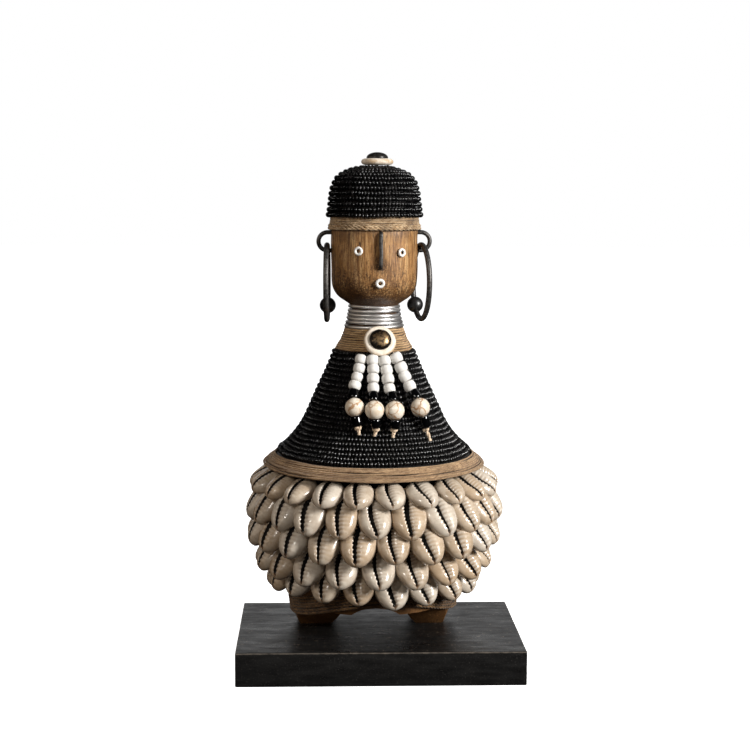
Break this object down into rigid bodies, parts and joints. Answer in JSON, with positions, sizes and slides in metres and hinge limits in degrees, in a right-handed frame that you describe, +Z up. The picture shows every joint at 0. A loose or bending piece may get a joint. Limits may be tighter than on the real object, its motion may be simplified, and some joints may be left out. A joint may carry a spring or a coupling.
{
  "type": "namji doll",
  "caption": "Carved wooden doll on a black board, dressed in wound bead strands, jute cord and rows of cowrie shells, with hoop earrings and bead tassels.",
  "frame": {"origin": "centre of the board's flat underside", "axes": "+Z up through the doll, -Y towards the board's front edge, +X to the right seen from the front"},
  "size_m": [0.152, 0.1375, 0.2763],
  "materials": {
    "painted_board": "brushed black paint, satin, with scuffs",
    "steel": "plain zinc-plated",
    "carved_wood": "hand-carved, oiled, darker stain towards one side",
    "jute": "twisted natural cord",
    "black_glass": "glossy opaque beads",
    "aluminium_wire": "bright wire",
    "bone": "cut bone, satin",
    "antique_brass": "antique, worn on the dome",
    "black_metal": "glossy black",
    "iron_wire": "dark annealed wire",
    "white_glass": "matte opaque beads",
    "veined_stone": "polished cream stone with tan veins",
    "bead_thread": "waxed cotton thread",
    "cowrie_shell": "glossy ivory shell with a dark toothed slit"
  },
  "bodies": {
    "doll": {"plinth": "painted_board", "base_screw_left": "steel", "base_screw_right": "steel", "carved_figure": "carved_wood", "headband_cord": "jute", "collar_cord": "jute", "brim_cord": "jute", "hem_cord": "jute", "cap_beads": "black_glass", "robe_beads": "black_glass", "neck_wire": "aluminium_wire", "brooch_ring": "bone", "crown_ring": "bone", "brooch_tack": "antique_brass", "crown_tack": "black_metal", "nose_bar": "iron_wire", "ear_wire_left": "iron_wire", "ear_wire_right": "iron_wire", "eye_bead_left": "white_glass", "eye_bead_right": "white_glass", "mouth_bead": "white_glass", "cowrie_row_1": "cowrie_shell", "cowrie_row_2": "cowrie_shell", "cowrie_row_3": "cowrie_shell", "cowrie_row_4": "cowrie_shell", "cowrie_row_5": "cowrie_shell"},
    "earring_left": {"earring_left": "iron_wire", "earring_bead_left": "black_glass"},
    "earring_right": {"earring_right": "iron_wire", "earring_bead_right": "black_glass"},
    "strand_1": {"strand_1_thread": "bead_thread", "strand_1_white_beads": "white_glass", "strand_1_black_bead_upper": "black_glass", "strand_1_stone_ball": "veined_stone", "strand_1_black_bead_lower": "black_glass"},
    "strand_2": {"strand_2_thread": "bead_thread", "strand_2_white_beads": "white_glass", "strand_2_black_bead_upper": "black_glass", "strand_2_stone_ball": "veined_stone", "strand_2_black_bead_lower": "black_glass"},
    "strand_3": {"strand_3_thread": "bead_thread", "strand_3_white_beads": "white_glass", "strand_3_black_bead_upper": "black_glass", "strand_3_stone_ball": "veined_stone", "strand_3_black_bead_lower": "black_glass"},
    "strand_4": {"strand_4_thread": "bead_thread", "strand_4_white_beads": "white_glass", "strand_4_black_bead_upper": "black_glass", "strand_4_stone_ball": "veined_stone", "strand_4_black_bead_lower": "black_glass"}
  },
  "joints": [
    {"name": "earring_left_swing", "type": "hinge", "parent": "doll", "child": "earring_left", "pos_m": [-0.02804, 0.01206, 0.2234], "axis": [0.9989, -0.0471, 0], "range_deg": [-70, 70]},
    {"name": "earring_right_swing", "type": "hinge", "parent": "doll", "child": "earring_right", "pos_m": [0.02344, 0.01774, 0.2234], "axis": [0.9646, 0.2639, 0], "range_deg": [-70, 70]},
    {"name": "strand_1_lift", "type": "hinge", "parent": "doll", "child": "strand_1", "pos_m": [-0.00941, -0.01091, 0.16937], "axis": [-0.9641, 0.2657, 0], "range_deg": [0, 60]},
    {"name": "strand_2_lift", "type": "hinge", "parent": "doll", "child": "strand_2", "pos_m": [-0.00369, -0.01184, 0.1693], "axis": [-0.9986, 0.052, 0], "range_deg": [0, 60]},
    {"name": "strand_3_lift", "type": "hinge", "parent": "doll", "child": "strand_3", "pos_m": [0.00193, -0.01178, 0.16889], "axis": [-0.9876, -0.1567, 0], "range_deg": [0, 60]},
    {"name": "strand_4_lift", "type": "hinge", "parent": "doll", "child": "strand_4", "pos_m": [0.00715, -0.00985, 0.17025], "axis": [-0.9342, -0.3568, 0], "range_deg": [0, 60]}
  ]
}
